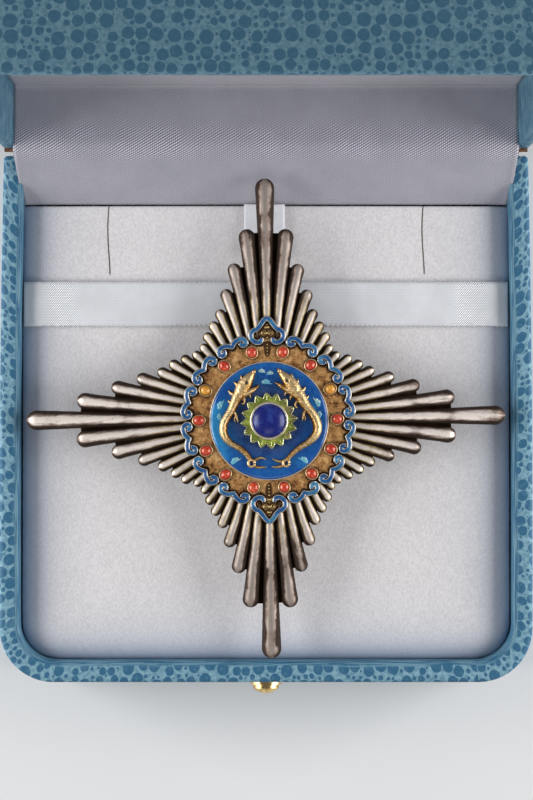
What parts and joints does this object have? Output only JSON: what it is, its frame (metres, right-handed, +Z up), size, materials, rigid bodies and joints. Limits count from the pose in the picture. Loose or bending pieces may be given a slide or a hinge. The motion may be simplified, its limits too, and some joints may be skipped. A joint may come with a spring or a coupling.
{
  "type": "breast star in a presentation case",
  "caption": "Rayed silver breast star with a dragon-and-enamel medallion, lying on a velvet pad in a blue hinged presentation case with its lid open.",
  "frame": {"origin": "centre of the case's flat underside", "axes": "+Z up, +Y to the hinge at the back, +X to the right seen from the front"},
  "size_m": [0.1026, 0.1209, 0.1251],
  "materials": {
    "covering_paper": "textile-pattern paper, two blues",
    "velvet": "warm white velvet",
    "ribbon_satin": "white satin",
    "lining_satin": "grey satin twill",
    "hinge_steel": "worn",
    "hinge_rod_steel": "brown with rust",
    "button_brass": "polished",
    "ray_silver": "silver with brown tarnish in the grooves",
    "pin_silver": "satin",
    "gilt_silver": "brushed, dark in the grooves",
    "border_enamel": "glossy enamel",
    "disc_enamel": "glossy enamel",
    "dragon_gilt": "cast, bright on the crests",
    "green_enamel": "worn translucent enamel",
    "bezel_gilt": "polished",
    "lapis": "polished stone",
    "coral_stone": "polished stone",
    "amber_stone": "polished stone"
  },
  "bodies": {
    "base_body": {"base_tray": "covering_paper", "pad": "velvet", "pad_ribbon": "ribbon_satin", "pull_tab": "ribbon_satin", "base_lining": "lining_satin", "hinge_leaf_base": "hinge_steel", "hinge_rod": "hinge_rod_steel", "button_collar": "button_brass", "push_button": "button_brass", "star_rays": "ray_silver", "star_pin": "pin_silver", "medallion": "gilt_silver", "border_enamel": "border_enamel", "disc_enamel": "disc_enamel", "dragon_left": "dragon_gilt", "dragon_right": "dragon_gilt", "petal_rosette": "green_enamel", "bezel": "bezel_gilt", "cabochon": "lapis", "stone_1": "coral_stone", "stone_2": "coral_stone", "stone_3": "amber_stone", "stone_4": "coral_stone", "stone_5": "coral_stone", "stone_6": "coral_stone", "stone_7": "coral_stone", "stone_8": "coral_stone", "stone_9": "coral_stone", "stone_10": "coral_stone", "stone_11": "coral_stone", "stone_12": "amber_stone", "stone_13": "coral_stone", "stone_14": "coral_stone"},
    "lid": {"lid_shell": "covering_paper", "lid_lining": "lining_satin", "hinge_leaf_lid": "hinge_steel"}
  },
  "joints": [
    {"name": "lid_hinge", "type": "hinge", "parent": "base_body", "child": "lid", "pos_m": [0, 0.05205, 0.02215], "axis": [1, 0, 0], "range_deg": [0, 90]}
  ]
}
